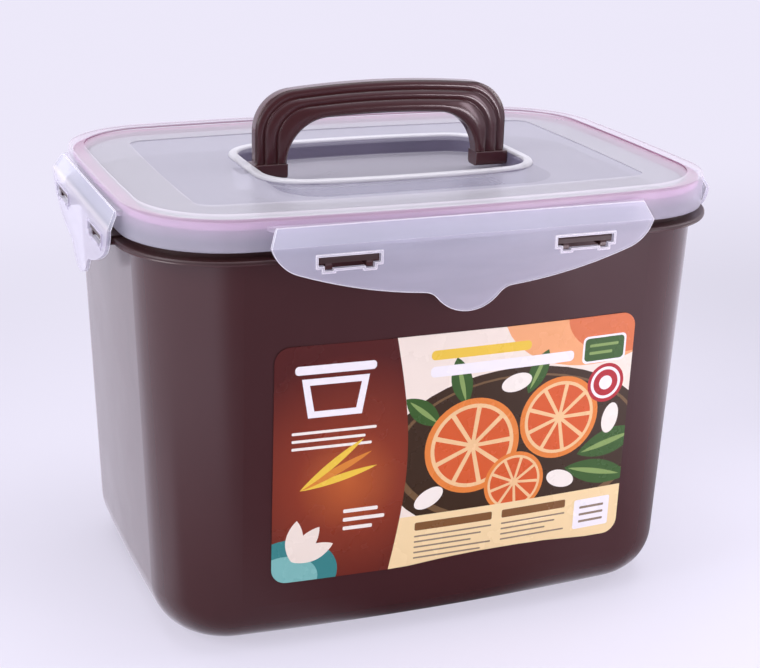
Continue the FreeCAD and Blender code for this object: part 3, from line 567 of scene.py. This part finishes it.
def side_layers():
    """Red brown side panel with a curved edge, a tub sign, rules, slim leaves and a teal corner."""
    edge = [(54 + 7 * math.sin(math.pi * step / 24), LABEL_TALL * step / 24) for step in range(25)]
    layers = [
        ("panel", [(0, 0)] + edge + [(0, LABEL_TALL)]),
        ("white", rounded_box(9, 98, 45, 102, 1.6)),
        ("white", [(12, 96), (42, 96), (39, 78), (15, 78)]),
        ("panel", [(15.5, 93), (38.5, 93), (36.3, 81), (17.7, 81)]),
    ]
    for row, length in enumerate((38, 33, 36)):
        layers.append(("ivory", rounded_box(8, 70.5 - row * 3.6, 8 + length, 71.8 - row * 3.6, 0.5)))
    for turn, ink in ((14, "yellow"), (26, "amber"), (38, "yellow")):
        layers.append((ink, leaf(12, 44, 36, 3.4, turn)))
    for row, length in enumerate((20, 24, 17)):
        layers.append(("ivory", rounded_box(32, 31 - row * 4.2, 32 + length * 0.8, 32.8 - row * 4.2, 0.6)))
    layers.append(("teal", ellipse(8, 4, 22, 17)))
    layers.append(("light_teal", ellipse(6, 2, 15, 11)))
    for turn in (20, 52, 84):
        layers.append(("cream", leaf(9, 10, 20, 8, turn)))
    return layers


def mark_layers():
    """A round and a square mark without words."""
    rings = [(ink, ellipse(158, 78, size, size))
             for size, ink in ((9.5, "red"), (7.8, "white"), (6.4, "red"), (3.4, "white"))]
    return rings + [
        ("white", rounded_box(144.5, 88.5, 167, 101.5, 2.4)),
        ("green", rounded_box(145.5, 89.5, 166, 100.5, 2)),
        ("light_green", rounded_box(148, 96.2, 163, 97.6, 0.5)),
        ("light_green", rounded_box(148, 92.6, 160, 94.0, 0.5)),
    ]


def label_layers():
    """Regions from the lowest to the topmost: (ink, loop)."""
    return picture_layers() + foot_layers() + side_layers() + mark_layers()


INKS = {
    "cream": (250, 238, 222), "peach": (248, 176, 120), "apricot": (226, 122, 72), "dish": (66, 46, 30),
    "dish_edge": (120, 92, 60), "green": (62, 100, 44), "light_green": (140, 170, 96),
    "orange": (236, 136, 56), "pale_orange": (248, 206, 150), "red_orange": (222, 96, 42),
    "ivory": (252, 246, 234),
    "yellow": (246, 208, 70), "white": (252, 250, 252), "sand": (252, 226, 172), "brown": (134, 92, 52),
    "grey": (150, 132, 112), "panel": (112, 40, 28), "amber": (226, 140, 52), "teal": (58, 140, 140),
    "light_teal": (130, 196, 190), "red": (186, 40, 50),
}


def ink_material(name, colour):
    """Glossy print: the ink with faint mottling, film gloss and a shallow ripple."""
    deep = tuple(level * 0.9 for level in colour[:3]) + (1.0,)
    return surface("print_" + name, colour, deep, (0.22, 0.32), 700.0, 0.00001, 0.00008)


def panel_material():
    """Red brown ink with a warm glow at its middle."""
    material = bpy.data.materials.new("print_panel")
    tree = Tree(material)
    where = tree.place()
    offset = tree.add("ShaderNodeVectorMath", {0: where, 1: film_point(34, 46)}, operation="SUBTRACT")
    share = tree.math("DIVIDE", tree.length(offset.outputs[0]), 0.06)
    colour = tree.ramp(share, [(0.0, srgb(200, 100, 44)), (0.4, srgb(144, 56, 32)), (1.0, srgb(84, 28, 26))])
    mottle = tree.spread(tree.noise(where, 60.0, 3.0), 0.0, 0.14)
    rough = tree.spread(tree.noise(where, 45.0, 4.0), 0.22, 0.32)
    tree.show(tree.add("ShaderNodeBsdfPrincipled",
                       {"Base Color": tree.mix(mottle, colour, srgb(90, 30, 22)), "Roughness": rough}))
    return material


def add_object(name, data):
    item = bpy.data.objects.new(name, data)
    bpy.context.scene.collection.objects.link(item)
    return item


def build_label():
    """Film cut along every region's outline, each face in the ink of the topmost region over it."""
    outline = rounded_box(0, 0, LABEL_WIDE, LABEL_TALL, LABEL_CORNER)
    layers = label_layers()
    points = []
    edges = []
    for loop in [outline] + [loop for ink, loop in layers]:
        start = len(points)
        count = len(loop)
        points += [Vector((min(max(x, -LABEL_SPILL), LABEL_WIDE + LABEL_SPILL),
                           min(max(y, -LABEL_SPILL), LABEL_TALL + LABEL_SPILL))) for x, y in loop]
        edges += [(start + index, start + (index + 1) % count) for index in range(count)]
    for row in range(1, LABEL_ROWS):
        for column in range(1, LABEL_COLUMNS):
            points.append(Vector((LABEL_WIDE * column / LABEL_COLUMNS, LABEL_TALL * row / LABEL_ROWS)))
    verts, made_edges, faces = delaunay_2d_cdt(points, edges, [], 0, 1e-5, False)[:3]

    names = list(INKS)
    kept = []
    for face in faces:
        x = sum(verts[corner].x for corner in face) / len(face)
        y = sum(verts[corner].y for corner in face) / len(face)
        if inside(outline, x, y):
            ink = [name for name, loop in layers if inside(loop, x, y)][-1]
            kept.append((face, names.index(ink)))
    used = sorted({corner for face, ink in kept for corner in face})
    number = {corner: index for index, corner in enumerate(used)}
    mesh = bpy.data.meshes.new("label_print")
    mesh.from_pydata([film_point(verts[corner].x, verts[corner].y) for corner in used], [],
                     [[number[corner] for corner in face] for face, ink in kept])
    for name, colour in INKS.items():
        mesh.materials.append(panel_material() if name == "panel" else ink_material(name, srgb(*colour)))
    mesh.polygons.foreach_set("material_index", [ink for face, ink in kept])
    mesh.update()

    label = add_object("label_print", mesh)
    thicken = label.modifiers.new("film", "SOLIDIFY")
    thicken.thickness = FILM_THICKNESS * MM
    thicken.offset = -1.0
    return label


label_print = build_label()
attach(label_print, "container")
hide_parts("label")


# Stage in metres: pale floor and soft studio light
FLOOR_HALF = 8.0
FLOOR_DROP = 0.0001
STUDIO_FRONT = (0.05, -0.9987, 0.0)
STUDIO_GLOSS = 1.35

# Name, place, target, width, height, power and colour of each lamp
LAMPS = (
    ("top_box", (0.1, 0.3, 1.5), (0, 0, 0.1), 1.6, 1.2, 17.5, (1.0, 1.0, 1.0)),
    ("left_box", (-1.4, -0.25, 0.9), (0, 0, 0.12), 0.7, 1.0, 12.0, (1.0, 1.0, 1.0)),
    ("right_box", (1.3, -0.2, 0.8), (0, 0, 0.12), 0.5, 1.0, 5.5, (1.0, 1.0, 1.0)),
    ("low_box", (0.72, -0.95, 0.34), (0, 0, 0.2), 0.2, 0.4, 1.6, (1.0, 0.8, 0.9)),
    ("side_box", (0.367, -0.631, 0.085), (0.05, 0, 0.2), 0.12, 0.11, 0.8, (1.0, 0.88, 0.95)),
)

# Camera: azimuth, elevation and roll in degrees, target and distance in millimetres
CAMERA_ANGLES = (-21.64, 18.85, 1.46)
CAMERA_TARGET = (1.99, 0.0, 112.81)
CAMERA_DISTANCE = 792.38
CAMERA_LENS = 77.03
CAMERA_SENSOR = 36.0


def studio_level(tree, way, dark):
    """Strength that gloss sees: dark towards the unlit front of the studio, full elsewhere."""
    direction = tree.add("ShaderNodeVectorMath", {0: way}, operation="NORMALIZE").outputs[0]
    fall = tree.add("ShaderNodeMapRange",
                    {"Value": tree.dot(direction, STUDIO_FRONT), "From Min": 0.78, "From Max": 0.985,
                     "To Min": STUDIO_GLOSS, "To Max": dark}, interpolation_type="SMOOTHSTEP")
    return fall.outputs["Result"]


def floor_material():
    """Paper that keeps the object's shadow, mixed with a glow that shows its plain colour."""
    material = bpy.data.materials.new("floor_paper")
    tree = Tree(material)
    where = tree.place()
    across, depth = tree.split(where)[:2]
    away = tree.length(where)
    gloss, direct = tree.rays()
    colour = tree.mix(tree.spread(tree.noise(where, 3.0), 0.0, 0.2), srgb(237, 233, 250), srgb(233, 229, 246))

    # Gloss sees a darker floor near the object's front and right side
    close = tree.inverse(tree.step(away, 0.15, 0.45))
    shaded = tree.math("MAXIMUM", tree.inverse(tree.step(depth, -0.09, -0.05)), tree.step(across, 0.10, 0.13))
    mirrored = tree.product(gloss, tree.spread(tree.product(close, shaded), 1.0, 0.33),
                            studio_level(tree, where, 0.25))

    # Painted shade and light: the camera sees it a little darker at the object's back and paler before it
    shaded_behind = tree.product(tree.step(depth, -0.06, 0.1), tree.inverse(tree.step(depth, 0.15, 0.75)))
    before = tree.inverse(tree.step(depth, -0.12, -0.04))
    level = tree.math("ADD", tree.spread(shaded_behind, 1.0, 0.82), tree.product(before, 0.05))
    strength = tree.math("MAXIMUM", tree.product(direct, level), mirrored)

    paper = tree.add("ShaderNodeBsdfDiffuse", {"Color": colour})
    glow = tree.add("ShaderNodeEmission", {"Color": colour, "Strength": strength})
    plain = tree.product(direct, tree.spread(tree.step(away, 0.16, 0.6), 0.62, 1.0))
    share = tree.math("MAXIMUM", gloss, plain)
    tree.show(tree.add("ShaderNodeMixShader", {0: share, 1: paper.outputs[0], 2: glow.outputs[0]}))
    return material


def build_floor():
    mesh = bpy.data.meshes.new("floor")
    corners = [(-FLOOR_HALF, -FLOOR_HALF, 0), (FLOOR_HALF, -FLOOR_HALF, 0),
               (FLOOR_HALF, FLOOR_HALF, 0), (-FLOOR_HALF, FLOOR_HALF, 0)]
    mesh.from_pydata(corners, [], [(0, 1, 2, 3)])
    mesh.materials.append(floor_material())
    floor = add_object("floor", mesh)
    floor.location = (0, 0, -FLOOR_DROP)


def build_world():
    """Dim light on the object, and a pale studio that the camera and gloss see."""
    world = bpy.data.worlds.new("studio")
    bpy.context.scene.world = world
    tree = Tree(world)
    gloss, direct = tree.rays()
    way = tree.add("ShaderNodeTexCoord").outputs["Generated"]
    strength = tree.math("MAXIMUM", direct, tree.product(gloss, studio_level(tree, way, 0.2)))
    ambient = tree.add("ShaderNodeBackground", {"Color": (0.95, 0.94, 1.0, 1.0), "Strength": 0.5})
    shown = tree.add("ShaderNodeBackground", {"Color": srgb(238, 234, 251), "Strength": strength})
    seen = tree.math("MAXIMUM", direct, gloss)
    mixed = tree.add("ShaderNodeMixShader", {0: seen, 1: ambient.outputs[0], 2: shown.outputs[0]})
    tree.show(mixed, "ShaderNodeOutputWorld")


def softbox(name, place, target, width, height, power, colour):
    light = bpy.data.lights.new(name, "AREA")
    light.shape = "RECTANGLE"
    light.size = width
    light.size_y = height
    light.energy = power
    light.color = colour
    lamp = add_object(name, light)
    lamp.location = place
    lamp.rotation_mode = "QUATERNION"
    lamp.rotation_quaternion = (Vector(target) - Vector(place)).to_track_quat("-Z", "Y")


def build_camera():
    azimuth, elevation, roll = (math.radians(angle) for angle in CAMERA_ANGLES)
    back = Vector((math.sin(azimuth) * math.cos(elevation), -math.cos(azimuth) * math.cos(elevation),
                   math.sin(elevation)))
    right = (-back).cross(Vector((0, 0, 1))).normalized()
    up = right.cross(-back)
    side = right * math.cos(roll) + up * math.sin(roll)
    top = up * math.cos(roll) - right * math.sin(roll)
    data = bpy.data.cameras.new("camera")
    data.lens = CAMERA_LENS
    data.sensor_width = CAMERA_SENSOR
    data.clip_start = 0.01
    data.clip_end = 100.0
    camera = add_object("camera", data)
    place = (Vector(CAMERA_TARGET) + back * CAMERA_DISTANCE) * MM
    camera.matrix_world = Matrix.Translation(place) @ Matrix((side, top, back)).transposed().to_4x4()
    bpy.context.scene.camera = camera


build_floor()
build_world()
for lamp in LAMPS:
    softbox(*lamp)
build_camera()
bpy.context.scene.view_settings.view_transform = "Standard"
